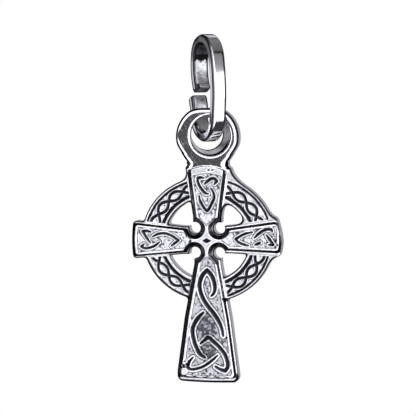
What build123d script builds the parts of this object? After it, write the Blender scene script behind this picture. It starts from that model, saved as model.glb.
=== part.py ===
from collections import namedtuple
from math import cos, degrees, pi, radians, sin, tan
import os

from build123d import *

# Sizes of the casting, in millimetres and degrees
plate_thickness = 1.35  # eye and neck
ring_thickness = 1.25
cross_rise = 0.38  # the cross above the ring's face
bevel_angle = 45
ledge_width = 0.08  # flat strip round the raised cross
shaft_reach = 13.0  # from the middle of the cross to the foot
shaft_half_width = 2.8  # at the end, as for the other arms
head_reach = 6.6
head_half_width = 1.95
arm_reach = 7.0
arm_half_width = 1.77
waist_reach = 2.2  # where the straight sides of each arm end
notch_radius = 0.53
notch_setback = 1.14  # notch centre from both centre lines
corner_share = 0.4  # how fast the arms' corner radius shrinks towards the panels

# Sizes of the ring, which is a little wider than high
ring_half_width = 6.1
ring_half_height = 5.73
ring_lift = 0.1  # ring centre above the middle of the cross
opening_half_width = 3.92
opening_half_height = 3.78
outer_rim = 0.22
inner_rim = 0.3
inner_groove = 0.27
field_depth = 0.14
groove_depth = 0.26

# Sizes of the eye
eye_radius = 2.7
eye_flank = 29.0  # angle below level where the eye runs into the neck
neck_length = 2.7  # from the end of the head to the middle of the eye
neck_half_width = 1.85
neck_root = 0.8  # how far the neck runs on beneath the raised cross
eye_rounding = 0.16
hole_front_radius = 1.88
hole_back_radius = 1.45
hole_skew = 0.27  # sideways offset of the hole on each face
hole_drop = 0.14  # front of the hole below its back
hole_rounding = 0.12
eye_top_wall = 0.82  # metal above the back of the hole

# Sizes of the sunk panels and their knots
panel_rim = 0.16
panel_depth = 0.2
panel_tip = 1.35
pit_half_width = 0.4
pit_half_height = 0.2
shaft_ribbon = 0.8
shaft_line = 0.3
arm_ribbon = 0.48
arm_line = 0.16
braid_ribbon = 0.42
braid_line = 0.14
braid_lap = 18  # degrees of the ring between two crossings
braid_overlap = 0.08  # how far the braid reaches over the rims beside it
line_depth = 0.1
line_gap = 0.08  # from the end of an incised line to the ribbon that passes over it
ribbon_sink = 0.02  # knots lie this much below the panel rim

# Sizes of the bail
bail_height = 9.7
wire_width = 1.36
wire_thickness = 0.85
bail_turn = 36.0  # from the pendant's plane to the width of the wire
wedge_angle = 13.0  # how far below the centre of the lower turn the eye bears
seat_clearance = 0.2
wire_rounding = 0.2
strand_rise = 1.6  # straight part of the front strand
shoulder_share = 0.82  # front shoulder, as a share of the lower turn's radius
front_shoulder_z = -1.2
back_share = 0.9
back_shoulder_z = -1.0
stub_flare = 0.3  # the lower end leans out by this much
stub_rise = 1.45
end_tuck = 0.7  # the upper end leans in by this much
end_gap = 0.3

# Each arm points away from the middle of the cross. Tip and end are shares of its reach, and the
# other lengths are shares of its half width
Arm = namedtuple(
    "Arm", "turn reach half_width root belly bow corner lift knot_tip knot_end knot_half"
)
left_arm = Arm(180, arm_reach, arm_half_width, 0.723, 0, 0.045, 0.2, -0.056, 0.379, 0.879, 0.441)
right_arm = Arm(0, arm_reach, arm_half_width, 0.723, 0, 0.068, 0.2, 0.17, 0.379, 0.871, 0.441)
head = Arm(90, head_reach, head_half_width, 0.682, 0, 0.128, 0, 0, 0.402, 0.856, 0.451)
shaft = Arm(-90, shaft_reach, shaft_half_width, 0.429, 0.043, 0.021, 0.143, 0, 0.215, 0.931, 0.75)
arms = (left_arm, right_arm, head)

# One lap of each knot. Along runs from the knot's tip to its far end and across is a share of its
# half width. A corner breaks the line, a turn only divides it, and an under row passes beneath.
Row = namedtuple("Row", "along across kind")
trefoil = (
    Row(0.0, 0.0, "corner"),
    Row(0.2, 0.6, ""),
    Row(0.39, 0.82, ""),
    Row(0.56, 0.72, ""),
    Row(0.69, 0.4, ""),
    Row(0.79, 0.0, "under"),
    Row(0.89, -0.42, ""),
    Row(1.0, -0.84, "corner"),
    Row(0.88, -1.0, ""),
    Row(0.74, -0.88, ""),
    Row(0.62, -0.58, "turn"),
    Row(0.51, -0.22, ""),
    Row(0.48, 0.12, "turn"),
    Row(0.61, 0.6, "under"),
    Row(0.75, 0.9, ""),
    Row(0.88, 1.0, ""),
    Row(1.0, 0.84, "corner"),
    Row(0.89, 0.42, ""),
    Row(0.79, 0.0, ""),
    Row(0.7, -0.35, ""),
    Row(0.61, -0.6, "under"),
    Row(0.39, -0.82, ""),
    Row(0.2, -0.6, ""),
)
shaft_knot = (
    Row(0.0, 0.0, "turn"),
    Row(0.09, -0.27, ""),
    Row(0.2, -0.34, ""),
    Row(0.33, -0.06, ""),
    Row(0.43, 0.36, ""),
    Row(0.54, 0.66, ""),
    Row(0.63, 0.75, ""),
    Row(0.7, 0.73, ""),
    Row(0.77, 0.63, "under"),
    Row(0.85, 0.42, ""),
    Row(0.93, 0.02, ""),
    Row(0.985, -0.42, ""),
    Row(1.0, -0.86, "corner"),
    Row(0.9, -0.76, ""),
    Row(0.79, -0.46, "under"),
    Row(0.71, -0.24, ""),
    Row(0.67, 0.03, "turn"),
    Row(0.75, 0.52, ""),
    Row(0.85, 0.88, ""),
    Row(0.95, 0.96, ""),
    Row(1.0, 0.8, "corner"),
    Row(0.96, 0.42, ""),
    Row(0.92, 0.12, "under"),
    Row(0.85, -0.16, ""),
    Row(0.78, -0.48, ""),
    Row(0.68, -0.66, ""),
    Row(0.56, -0.62, ""),
    Row(0.46, -0.28, ""),
    Row(0.36, 0.04, "under"),
    Row(0.27, 0.26, ""),
    Row(0.15, 0.37, ""),
    Row(0.05, 0.23, ""),
)

ring_band = ring_half_width - opening_half_width

# Heights of the bail, measured from the inside of its top, where the chain bears
half_bar = plate_thickness / 2 / cos(radians(bail_turn)) + wire_width / 2 * tan(radians(bail_turn))
inner_turn = (half_bar + seat_clearance) / cos(radians(wedge_angle))
route_turn = inner_turn + wire_thickness / 2
turn_z = wire_thickness - bail_height + inner_turn + wire_thickness
hole_top_z = turn_z - inner_turn * sin(radians(wedge_angle))

# Heights of the pendant, which hangs from the lower turn of the bail
eye_top_z = hole_top_z + eye_top_wall
eye_rise = head_reach + neck_length
cross_z = eye_top_z - eye_radius - eye_rise
hole_rise = hole_top_z - hole_back_radius - cross_z


def plane_at(front):
    """Plane facing the front, this far forward of the back of the casting, on the cross's middle"""
    return Plane(
        origin=(0, plate_thickness / 2 - front, cross_z), x_dir=(1, 0, 0), z_dir=(0, -1, 0)
    )


def place(arm, along, across):
    """Point of an arm on the cross's plane"""
    turn = radians(arm.turn)
    x = along * cos(turn) - across * sin(turn)
    y = along * sin(turn) + across * cos(turn)
    return (x, y + arm.lift * arm.half_width * max(along, 0) / arm.reach)


def arm_face(arm, inset=0.0, tip=None, mode=Mode.ADD):
    """Face of one arm. A tip closes the end at the middle in a point, for a sunk panel"""
    lean = arm.half_width * (1 - arm.root) / (arm.reach - waist_reach)
    root = arm.root * arm.half_width - inset
    end = arm.half_width - inset * (1 + lean)
    reach = arm.reach - inset
    middle = (waist_reach + reach) / 2
    side = [(waist_reach, root), (reach, end)]
    if arm.belly:
        side.insert(1, (middle, (root + end) / 2 + arm.belly * arm.half_width))
    inner = [(-cross_rise, root)] if tip is None else [(tip, 0)]
    upper = [place(arm, *point) for point in inner + side]
    lower = [place(arm, along, -across) for along, across in inner + side]
    with BuildLine() as border:
        Polyline(*upper)
        Polyline(*lower)
        ThreePointArc(upper[-1], place(arm, reach + arm.bow * arm.half_width, 0), lower[-1])
        if tip is None:
            Line(upper[0], lower[0])
        if arm.corner:
            corners = [border.vertices().sort_by_distance(end)[0] for end in (upper[-1], lower[-1])]
            fillet(corners, arm.corner * arm.half_width - inset * corner_share)
    make_face(border.edges(), mode=mode)


def ring_axes(out):
    """Half width and half height of the oval at this distance outside the ring's opening"""
    share = out / ring_band
    half_height = opening_half_height + share * (ring_half_height - opening_half_height)
    return (opening_half_width + out, half_height)


def ring_face(inner, outer):
    """Face of the ring between two distances outside its opening"""
    with Locations((0, ring_lift)):
        Ellipse(*ring_axes(outer))
        Ellipse(*ring_axes(inner), mode=Mode.SUBTRACT)


def knot_points(arm, rows):
    """Points of a knot on the cross's plane"""
    tip = arm.knot_tip * arm.reach
    length = arm.knot_end * arm.reach - tip
    half = arm.knot_half * arm.half_width
    return [place(arm, tip + row.along * length, row.across * half) for row in rows]


def knot_runs(rows, kinds):
    """Pairs of row numbers between which the strand has none of these kinds"""
    marks = [number for number, row in enumerate(rows) if row.kind in kinds]
    return list(zip(marks, marks[1:] + [marks[0] + len(rows)]))


def ribbon_face(edge, start, stop, width, steps):
    """Face of this width along a part of an edge, which is given as two shares of its length"""
    shares = [start + (stop - start) * step / steps for step in range(steps + 1)]
    sides = []
    for side in (-width / 2, width / 2):
        sides.append([edge @ share + (edge % share).rotate(Axis.Z, 90) * side for share in shares])
    with BuildLine() as border:
        near = Spline(*sides[0])
        far = Spline(*sides[1])
        Line(near @ 0, far @ 0)
        Line(near @ 1, far @ 1)
    make_face(border.edges())


def draw_run(points, rows, first, last, width, trim):
    """Strand between two rows of a closed knot. Trim shortens the ends that pass beneath"""
    count = len(rows)

    def heading(number):
        if rows[number % count].kind == "corner":
            return None
        after = Vector(*points[(number + 1) % count])
        return after - Vector(*points[(number - 1) % count])

    run = [points[number % count] for number in range(first, last + 1)]
    starts = (Vector(*run[1]) - Vector(*run[0])).normalized()
    stops = (Vector(*run[-1]) - Vector(*run[-2])).normalized()
    with BuildLine() as strand:
        Spline(*run, tangents=(heading(first) or starts, heading(last) or stops))
    edge = strand.edge()
    cut_in = trim / edge.length if rows[first % count].kind == "under" else 0
    cut_out = trim / edge.length if rows[last % count].kind == "under" else 0
    ribbon_face(edge, cut_in, 1 - cut_out, width, 2 * (last - first))


def knot_faces(arm, rows, width, trim=0.0):
    """All strands of a knot, with round corners"""
    points = knot_points(arm, rows)
    for first, last in knot_runs(rows, ("under", "corner", "turn")):
        draw_run(points, rows, first, last, width, trim)
    corners = [point for point, row in zip(points, rows) if row.kind == "corner"]
    with Locations(*corners):
        Circle(width / 2)


def braid_faces(width, trim=0.0):
    """Two strands in each quarter of the ring. They take turns to pass over one another"""
    inner = inner_rim + inner_groove
    middle = (inner + ring_band - outer_rim) / 2
    swing = middle - inner - braid_ribbon / 2 + braid_overlap
    trim_angle = degrees(trim / (opening_half_width + middle))
    for quarter in range(4):
        for side, unders in ((1, (-braid_lap, braid_lap)), (-1, (0,))):
            stops = (-2 * braid_lap, *(unders if trim else ()), 2 * braid_lap)
            for start, stop in zip(stops, stops[1:]):
                start += trim_angle if start in unders else 0
                stop -= trim_angle if stop in unders else 0
                steps = max(round((stop - start) / (braid_lap / 2)), 2)
                points = []
                for step in range(steps + 1):
                    angle = start + (stop - start) * step / steps
                    half_width, half_height = ring_axes(
                        middle + side * swing * sin(pi * angle / braid_lap)
                    )
                    turn = radians(45 + 90 * quarter + angle)
                    points.append((half_width * cos(turn), half_height * sin(turn) + ring_lift))
                with BuildLine() as strand:
                    Spline(*points)
                ribbon_face(strand.edge(), 0, 1, width, 2 * steps)


panel_floor = ring_thickness + cross_rise - panel_depth
panel_inset = ledge_width + cross_rise + panel_rim
knot_top = ring_thickness + cross_rise - ribbon_sink
flank = radians(eye_flank)
flank_x = eye_radius * cos(flank)
flank_run = (flank_x - neck_half_width) / sin(flank)

with BuildPart() as celtic_cross:
    # Eye and neck, one flat plate with rounded front edges
    with BuildSketch(plane_at(0)):
        with Locations((0, eye_rise)):
            Circle(eye_radius)
        right = [
            (flank_x, eye_rise - eye_radius * sin(flank)),
            (neck_half_width, eye_rise - eye_radius * sin(flank) - flank_run * cos(flank)),
            (head_half_width, head_reach),
            (head_half_width - neck_root / 2, head_reach - neck_root),
        ]
        left = [(-x, y) for x, y in reversed(right)]
        with BuildLine():
            Polyline(*right, *left, close=True)
        make_face()
    extrude(amount=plate_thickness)
    fillet(celtic_cross.faces().sort_by(Axis.Y)[0].edges(), eye_rounding)

    # The hole leans to one side and narrows to the back
    with BuildSketch(plane_at(plate_thickness)):
        with Locations((hole_skew, hole_rise - hole_drop)):
            Circle(hole_front_radius)
    with BuildSketch(plane_at(0)):
        with Locations((-hole_skew, hole_rise)):
            Circle(hole_back_radius)
    loft(mode=Mode.SUBTRACT)
    front_face = celtic_cross.faces().sort_by(Axis.Y)[0]
    fillet(front_face.inner_wires()[0].edges(), hole_rounding)

    # Ring with a sunk field between its rims and a deeper groove inside
    with BuildSketch(plane_at(0)):
        ring_face(0, ring_band)
    extrude(amount=ring_thickness)
    with BuildSketch(plane_at(ring_thickness)):
        ring_face(inner_rim, ring_band - outer_rim)
    extrude(amount=-field_depth, mode=Mode.SUBTRACT)
    with BuildSketch(plane_at(ring_thickness)):
        ring_face(inner_rim, inner_rim + inner_groove)
    extrude(amount=-groove_depth, mode=Mode.SUBTRACT)
    with BuildSketch(plane_at(ring_thickness - field_depth)):
        braid_faces(braid_ribbon)
    extrude(amount=field_depth - ribbon_sink)
    with BuildSketch(plane_at(ring_thickness - ribbon_sink)):
        braid_faces(braid_line, trim=(braid_ribbon + braid_line) / 2 + line_gap)
    extrude(amount=-line_depth, mode=Mode.SUBTRACT)

    # Cross, through the whole thickness, with a raised middle whose sides slope
    with BuildSketch(plane_at(0)):
        for arm in (*arms, shaft):
            arm_face(arm)
    extrude(amount=ring_thickness)
    for arm in (*arms, shaft):
        with BuildSketch(plane_at(ring_thickness)):
            arm_face(arm, inset=ledge_width)
        extrude(amount=cross_rise, taper=bevel_angle)

    # Round notches between the arms, which open out over the slopes
    with BuildSketch(plane_at(0)):
        with GridLocations(2 * notch_setback, 2 * notch_setback, 2, 2):
            Circle(notch_radius)
    extrude(amount=ring_thickness, mode=Mode.SUBTRACT)
    with BuildSketch(plane_at(ring_thickness)):
        with GridLocations(2 * notch_setback, 2 * notch_setback, 2, 2):
            Circle(notch_radius + ledge_width)
    extrude(amount=cross_rise, taper=-bevel_angle, mode=Mode.SUBTRACT)

    # Sunk panels, their knots and the pit at the middle
    with BuildSketch(plane_at(panel_floor)):
        for arm in (*arms, shaft):
            arm_face(arm, inset=panel_inset, tip=panel_tip)
    extrude(amount=panel_depth, mode=Mode.SUBTRACT)
    for arm in (*arms, shaft):
        rows, ribbon = (shaft_knot, shaft_ribbon) if arm is shaft else (trefoil, arm_ribbon)
        with BuildSketch(plane_at(panel_floor)):
            knot_faces(arm, rows, ribbon)
            arm_face(arm, inset=panel_inset - panel_rim / 2, tip=panel_tip, mode=Mode.INTERSECT)
        extrude(amount=knot_top - panel_floor)
    with BuildSketch(plane_at(knot_top)):
        for arm in arms:
            knot_faces(arm, trefoil, arm_line, trim=(arm_ribbon + arm_line) / 2 + line_gap)
        knot_faces(shaft, shaft_knot, shaft_line, trim=(shaft_ribbon + shaft_line) / 2 + line_gap)
        with BuildLine():
            Polyline(
                (pit_half_width, 0), (0, pit_half_height), (-pit_half_width, 0), (0, -pit_half_height),
                close=True,
            )
        make_face()
    extrude(amount=-line_depth, mode=Mode.SUBTRACT)

# Side of the bail: its width lies across this plane and its lower turn is a true arc
side_plane = Plane(
    origin=(0, 0, 0),
    x_dir=(sin(radians(bail_turn)), -cos(radians(bail_turn)), 0),
    z_dir=(-cos(radians(bail_turn)), -sin(radians(bail_turn)), 0),
)
top_route = wire_thickness / 2
stub_end = (-route_turn - stub_flare, turn_z + stub_rise)
upper_end = (end_tuck - route_turn, stub_end[1] + end_gap)
front_shoulder = (shoulder_share * route_turn, front_shoulder_z)
back_shoulder = (-back_share * route_turn, back_shoulder_z)
with BuildLine(side_plane) as route:
    front = Line((route_turn, turn_z), (route_turn, turn_z + strand_rise))
    lower = CenterArc((0, turn_z), route_turn, 0, -180)
    TangentArc((-route_turn, turn_z), stub_end, tangent=(0, 1))
    front_side = TangentArc(front @ 1, front_shoulder, tangent=front % 1)
    top_front = TangentArc(front_shoulder, (0, top_route), tangent=front_side % 1)
    top_back = TangentArc((0, top_route), back_shoulder, tangent=top_front % 1)
    TangentArc(back_shoulder, upper_end, tangent=top_back % 1)
with BuildPart() as bail:
    with BuildSketch(Plane(origin=lower @ 0.5, x_dir=side_plane.z_dir, z_dir=side_plane.x_dir)):
        RectangleRounded(wire_width, wire_thickness, wire_rounding)
    sweep(path=route.wire())

celtic_cross.part.label = "celtic_cross"
bail.part.label = "bail"

os.makedirs("parts", exist_ok=True)
export_step(celtic_cross.part, "parts/celtic_cross.step")
export_step(bail.part, "parts/bail.step")
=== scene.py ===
from math import atan2, cos, degrees, pi, radians, sin, tan

import bmesh
import bpy
import numpy as np
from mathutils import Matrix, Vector
from mathutils.geometry import interpolate_bezier


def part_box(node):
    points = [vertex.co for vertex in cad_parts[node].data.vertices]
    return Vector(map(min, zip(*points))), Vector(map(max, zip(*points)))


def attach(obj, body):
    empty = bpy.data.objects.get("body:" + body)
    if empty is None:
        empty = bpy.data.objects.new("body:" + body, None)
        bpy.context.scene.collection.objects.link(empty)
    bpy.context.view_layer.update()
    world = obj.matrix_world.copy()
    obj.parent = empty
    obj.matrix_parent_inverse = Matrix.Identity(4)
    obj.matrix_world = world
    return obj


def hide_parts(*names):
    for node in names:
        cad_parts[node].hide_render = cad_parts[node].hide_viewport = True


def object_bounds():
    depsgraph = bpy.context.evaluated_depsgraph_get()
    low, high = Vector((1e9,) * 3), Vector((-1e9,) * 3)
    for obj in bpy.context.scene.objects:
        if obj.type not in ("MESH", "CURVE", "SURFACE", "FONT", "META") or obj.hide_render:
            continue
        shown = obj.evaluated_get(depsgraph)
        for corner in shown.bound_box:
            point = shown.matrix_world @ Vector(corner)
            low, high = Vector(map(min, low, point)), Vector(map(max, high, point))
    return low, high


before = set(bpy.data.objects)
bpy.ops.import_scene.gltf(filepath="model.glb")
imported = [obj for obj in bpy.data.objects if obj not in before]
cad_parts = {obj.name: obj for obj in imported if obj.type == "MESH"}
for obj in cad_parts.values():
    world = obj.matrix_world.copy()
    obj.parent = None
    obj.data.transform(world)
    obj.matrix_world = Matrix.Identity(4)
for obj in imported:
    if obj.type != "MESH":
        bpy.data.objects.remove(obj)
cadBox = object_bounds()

mm = 0.001
scene = bpy.context.scene
scene.view_settings.view_transform = "Standard"
scene.view_settings.look = "None"


def putInScene(name, data):
    thing = bpy.data.objects.new(name, data)
    scene.collection.objects.link(thing)
    return thing


# Camera

shot = dict(
    turn=11.5,  # degrees to the right of the front
    height=5.0,  # degrees above level
    lens=180,
    film=36,
    picture=416,  # pixels across
    pixel=0.0917,  # millimetres of the object in one pixel of the picture
    middle=(-0.03, -15.03),  # point that the camera looks at, across and up, in millimetres
)


def makeCamera(shot):
    turn, height = radians(shot["turn"]), radians(shot["height"])
    back = Vector((sin(turn) * cos(height), -cos(turn) * cos(height), sin(height)))
    side = Vector((cos(turn), sin(turn), 0))
    aim = side * shot["middle"][0] + Vector((0, 0, shot["middle"][1]))
    distance = shot["pixel"] * shot["picture"] * shot["lens"] / shot["film"]
    cameraData = bpy.data.cameras.new("camera")
    cameraData.lens = shot["lens"]
    cameraData.sensor_width = shot["film"]
    cameraData.clip_start, cameraData.clip_end = 0.001, 100
    camera = putInScene("camera", cameraData)
    camera.location = (aim + back * distance) * mm
    camera.rotation_mode = "QUATERNION"
    camera.rotation_quaternion = (-back).to_track_quat("-Z", "Y")
    scene.camera = camera
    return back


towardsCamera = makeCamera(shot)
print("camera set")


# Nodes, as the studio, the finishes and the two shapes use them

class Reading:
    # a node's output, so that sums of readings can be written plainly
    def __init__(self, tree, socket):
        self.tree, self.socket = tree, socket

    def at(self, output):
        return Reading(self.tree, self.socket.node.outputs[output])

    def calc(self, kind, *values):
        return addNode(self.tree, "ShaderNodeMath", enumerate(values), operation=kind)

    def __add__(self, other):
        return self.calc("ADD", self, other)

    def __sub__(self, other):
        return self.calc("SUBTRACT", self, other)

    def __rsub__(self, other):
        return self.calc("SUBTRACT", other, self)

    def __mul__(self, other):
        return self.calc("MULTIPLY", self, other)

    def __truediv__(self, other):
        return self.calc("DIVIDE", self, other)

    def __rtruediv__(self, other):
        return self.calc("DIVIDE", other, self)


def feed(socket, value):
    if isinstance(value, Reading):
        value.tree.links.new(value.socket, socket)
    else:
        socket.default_value = value


def addNode(tree, kind, inputs=(), **settings):
    node = tree.nodes.new(kind)
    for name, value in settings.items():
        setattr(node, name, value)
    for name, value in dict(inputs).items():
        feed(node.inputs[name], value)
    return Reading(tree, node.outputs[0])


def most(first, second):
    return first.calc("MAXIMUM", first, second)


def least(first, second):
    return first.calc("MINIMUM", first, second)


def rise(value, low, high, start=0.0, stop=1.0):
    # goes smoothly from the start to the stop as the value goes from low to high
    inputs = {"Value": value, "From Min": low, "From Max": high, "To Min": start, "To Max": stop}
    return addNode(value.tree, "ShaderNodeMapRange", inputs, interpolation_type="SMOOTHSTEP")


def blend(factor, first, second, kind="MIX"):
    # two colours, each a reading or three levels
    tree = next(value.tree for value in (factor, first, second) if isinstance(value, Reading))
    first, second = ((*colour, 1) if isinstance(colour, tuple) else colour for colour in (first, second))
    inputs = {"Factor": factor, "A": first, "B": second}
    return addNode(tree, "ShaderNodeMix", inputs, data_type="RGBA", blend_type=kind).at("Result")


def noiseOf(where, scale, detail, roughness=0.5):
    inputs = {"Vector": where, "Scale": scale, "Detail": detail, "Roughness": roughness}
    return addNode(where.tree, "ShaderNodeTexNoise", inputs).at("Fac")


def newTree(kind, name, inputs, outputs):
    # an input is a kind of socket, or the value of a number
    tree = bpy.data.node_groups.new(name, kind)
    for label, value in inputs.items():
        isKind = isinstance(value, str)
        socketType = "NodeSocket" + (value if isKind else "Float")
        socket = tree.interface.new_socket(label, in_out="INPUT", socket_type=socketType)
        if not isKind:
            socket.default_value = value
    for label, value in outputs.items():
        tree.interface.new_socket(label, in_out="OUTPUT", socket_type="NodeSocket" + value)
    given = {socket.name: Reading(tree, socket) for socket in tree.nodes.new("NodeGroupInput").outputs}
    return tree, given, tree.nodes.new("NodeGroupOutput").inputs


# Studio

studio = dict(
    floorDrop=45,
    floorRadius=900,
    floorColour=(0.95, 0.95, 0.955),
    strength=2.2,
    blueness=1.02,
    # light level against how far a direction turns from straight behind, -1, to the camera, 1
    around=[
        (-1, 0.14), (-0.9, 0.15), (-0.78, 0.26), (-0.62, 0.3), (-0.52, 0.02),
        (0.5, 0.02), (0.57, 1), (1, 1),
    ],
    # the same for other directions: the dark end of the studio, which the smooth flat faces mirror, a dim
    # place high on the right, which the top of the bail mirrors, and a faint light overhead
    others=[
        ("MULTIPLY", (-0.203, -0.977, -0.054), [(-1, 1), (0.97, 1), (0.983, 0.035), (1, 0.02)]),
        ("MULTIPLY", (0.65, -0.25, 0.72), [
            (-1, 1), (0.825, 1), (0.84, 0.22), (0.88, 0.13), (0.95, 0.1), (1, 0.1),
        ]),
        ("ADD", (0.4, 0.15, 0.9), [(-1, 0), (0.8, 0), (0.86, 0.05), (1, 0.07)]),
    ],
)


def makeFloor(studio):
    bpy.ops.mesh.primitive_circle_add(
        vertices=96, radius=studio["floorRadius"] * mm, fill_type="NGON",
        location=(0, 0, cadBox[0].z - studio["floorDrop"] * mm),
    )
    floor = bpy.context.object
    floor.name = "floor"
    paper = bpy.data.materials.new("paleFloor")
    paper.use_nodes = True
    shader = paper.node_tree.nodes["Principled BSDF"]
    shader.inputs["Base Color"].default_value = (*studio["floorColour"], 1)
    shader.inputs["Roughness"].default_value = 0.9
    floor.data.materials.append(paper)
    floor.visible_glossy = False
    floor.visible_camera = False


def makeStudio(studio, front):
    world = bpy.data.worlds.new("softBox")
    scene.world = world
    world.use_nodes = True
    tree = world.node_tree
    tree.nodes.clear()
    where = addNode(tree, "ShaderNodeTexCoord").at("Generated")

    def level(way, stops):
        inputs = {0: where, 1: Vector(way).normalized()}
        turned = addNode(tree, "ShaderNodeVectorMath", inputs, operation="DOT_PRODUCT").at("Value")
        colours = addNode(tree, "ShaderNodeValToRGB", {"Fac": turned * 0.5 + 0.5})
        band = colours.socket.node.color_ramp
        while len(band.elements) < len(stops):
            band.elements.new(0.5)
        for element, (at, grey) in zip(band.elements, stops):
            element.position = at * 0.5 + 0.5
            element.color = (grey, grey, grey * studio["blueness"], 1)
        return colours

    light = level(front, studio["around"])
    for kind, way, stops in studio["others"]:
        light = blend(1.0, light, level(way, stops), kind)
    lit = addNode(tree, "ShaderNodeBackground", {"Color": light, "Strength": studio["strength"]})
    seen = addNode(tree, "ShaderNodeBackground", {"Color": (1, 1, 1, 1)})
    byCamera = addNode(tree, "ShaderNodeLightPath").at("Is Camera Ray")
    mix = addNode(tree, "ShaderNodeMixShader", {"Fac": byCamera, 1: lit, 2: seen})
    feed(tree.nodes.new("ShaderNodeOutputWorld").inputs["Surface"], mix)


makeFloor(studio)
makeStudio(studio, towardsCamera)
print("studio set")


# Casting: cross, ring, neck and eye in one piece. Lengths are in millimetres, and u and v run across
# and up from the middle of the cross

casting = dict(
    grid=0.048,  # spacing of the front's points
    plate=1.35,  # thickness of the eye
    ring=1.25,  # thickness of the ring
    rise=0.38,  # of the cross above the ring
    least=0.3,  # metal left anywhere
    crease=0.05,
    ledge=0.13,
    waist=2.2,
    headBow=0.32,
    headHalf=1.55,
    notchRadius=0.53,
    notchSetback=1.14,
    fillet=0.3,  # metal in the corners between cross and ring, with more on the right and by the head
    filletRight=0.7,
    filletHead=0.5,
    filletHeadRight=0.4,
    filletEye=0.12,
    edge=0.08,  # rounding of the front's edges, and how much wider and deeper it is at the foot
    footWide=0.14,
    footDeep=0.2,
    backEdge=0.07,
    line=0.16,  # breadth of the painted shade, black along the outline, and how much more on eye, foot and lower ring
    eyeLine=0.07,
    footLine=0.12,
    ringLine=0.1,
    panelRim=0.18,
    panelDepth=0.2,
    panelTip=1.35,
    pit=(0.44, 0.24, 0.14),  # diamond in the middle: half width, half height and depth
    blob=(-2.08, -12.1, 0.09),  # drop of metal in the corner of the foot: across, up and height
    sill=(-12.6, 0.11, 0.1),  # worn step along the foot of the shaft's panel: up, half height and depth
    stains=[((0.0, -8.0), (0.9, 1.2)), ((0.1, -10.15), (0.75, 0.75))],  # middles and half sizes
)
ringSizes = dict(
    halfWidth=6.17, halfHeight=5.79, lift=0.1, openWidth=3.92, openHeight=3.78,
    outerRim=0.24, outerGroove=0.2, innerRim=0.3, innerGroove=0.28,
    fieldDepth=0.12, grooveDepth=0.34, lineDepth=0.26,
    fuller=0.15,  # how much further out the ring reaches at the upper right
    leaner=0.1,  # and how much less at the lower left, where it has no groove inside its rim
)
eyeSizes = dict(
    top=12.0, middle=9.45, radius=2.92, flatTop=12.14, flank=(2.3, 7.94), neck=(1.86, 7.3),
    waist=(1.64, 7.05), faceFoot=((2.08, 6.35), (1.6, 5.6)), waistSlope=4.0,
    roundWide=0.46, roundDeep=0.2,  # of its edge, which is worn softer than the rest
    flatSpot=9.7, flatHalf=0.55, flatness=0.65,  # where that edge is nearly flat on the left
    # the hole is a skewed cone
    holeRise=9.73, frontRadius=1.88, backRadius=1.45, skew=0.27, drop=0.14, holeWide=0.2, holeDeep=0.12,
)
# The foot and the top of an arm's raised part lie in from its outline by these lengths: on the side to the
# left of its run, on the other side and at its end
arms = dict(
    left=dict(
        turn=180, reach=7.0, root=1.28, end=1.77, bow=0.08, corner=0.35, lift=-0.05,
        foot=(0.15, 0.15, 0.0), top=(0.38, 0.37, 0.39), panelEnd=0.57,
    ),
    right=dict(
        turn=0, reach=6.94, root=1.28, end=1.77, bow=0.06, corner=0.35, lift=0.42,
        foot=(0.2, 0.26, 0.02), top=(0.44, 0.52, 0.05), panelEnd=0.5,
    ),
    head=dict(
        turn=90, reach=6.6, root=1.33, end=2.03, bow=0.25, corner=0.02,
        foot=(0.0, 0.02, 0.0), top=(0.44, 0.36, 0.0), panelEnd=0.68,
    ),
    shaft=dict(
        turn=-90, reach=13.12, root=1.25, end=2.97, belly=0.12, bow=0.06, corner=0.55, shift=0.045,
        foot=(0.16, -0.03, 0.4), top=(0.36, 0.5, 0.52), panelEnd=0.69,
    ),
)
# The right arm's end is worn round by two planes, each with the way it faces and a point, and flat at the
# upper corner. The foot and the top of its raised part lie further in, at the lower and the upper plane
worn = dict(
    lower=((0.936, -0.351), (6.92, -0.75)), upper=((0.954, 0.3), (6.92, 0.5)), end=6.98,
    further=dict(foot=(0.04, 0.02), top=(0.3, 0.06)),
)
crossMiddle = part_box("celtic_cross")[1].z / mm - eyeSizes["top"]

# small flaws of this casting: across, up, radius and depth
nicks = [
    (0.14, 6.48, 0.08, 0.1), (0.24, 6.48, 0.08, 0.1), (0.5, 6.49, 0.08, 0.1), (0.6, 6.5, 0.07, 0.1),
    (1.78, -5.42, 0.2, 0.06), (1.5, -5.36, 0.09, 0.08), (-2.45, -11.3, 0.17, 0.1),
    (-2.15, -11.62, 0.17, 0.1), (-1.83, -11.5, 0.17, 0.1), (-1.66, -11.2, 0.12, 0.1),
    (-2.5, -11.75, 0.14, 0.08), (-2.05, -11.2, 0.09, 0.06), (6.18, -0.2, 0.09, 0.12),
    (6.38, 0.12, 0.1, 0.12), (6.55, -0.25, 0.1, 0.12), (6.35, -0.45, 0.08, 0.12),
    (-0.05, -12.05, 0.12, 0.05), (-6.2, -1.1, 0.07, 0.06), (5.6, -0.05, 0.08, 0.08),
    (0.35, 5.75, 0.06, 0.06), (-2.2, -9.2, 0.07, 0.06), (1.9, -8.9, 0.08, 0.06),
]


def softMin(a, b, width):
    near = np.maximum(width - np.abs(a - b), 0) / width
    return np.minimum(a, b) - near * near * width / 4


def softMax(a, b, width):
    return -softMin(-a, -b, width)


def softStep(low, high, value):
    share = np.clip((value - low) / (high - low), 0, 1)
    return share * share * (3 - 2 * share)


def past(edge, value, before=0.03, beyond=0.05):
    return softStep(edge - before, edge + beyond, value)


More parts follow.
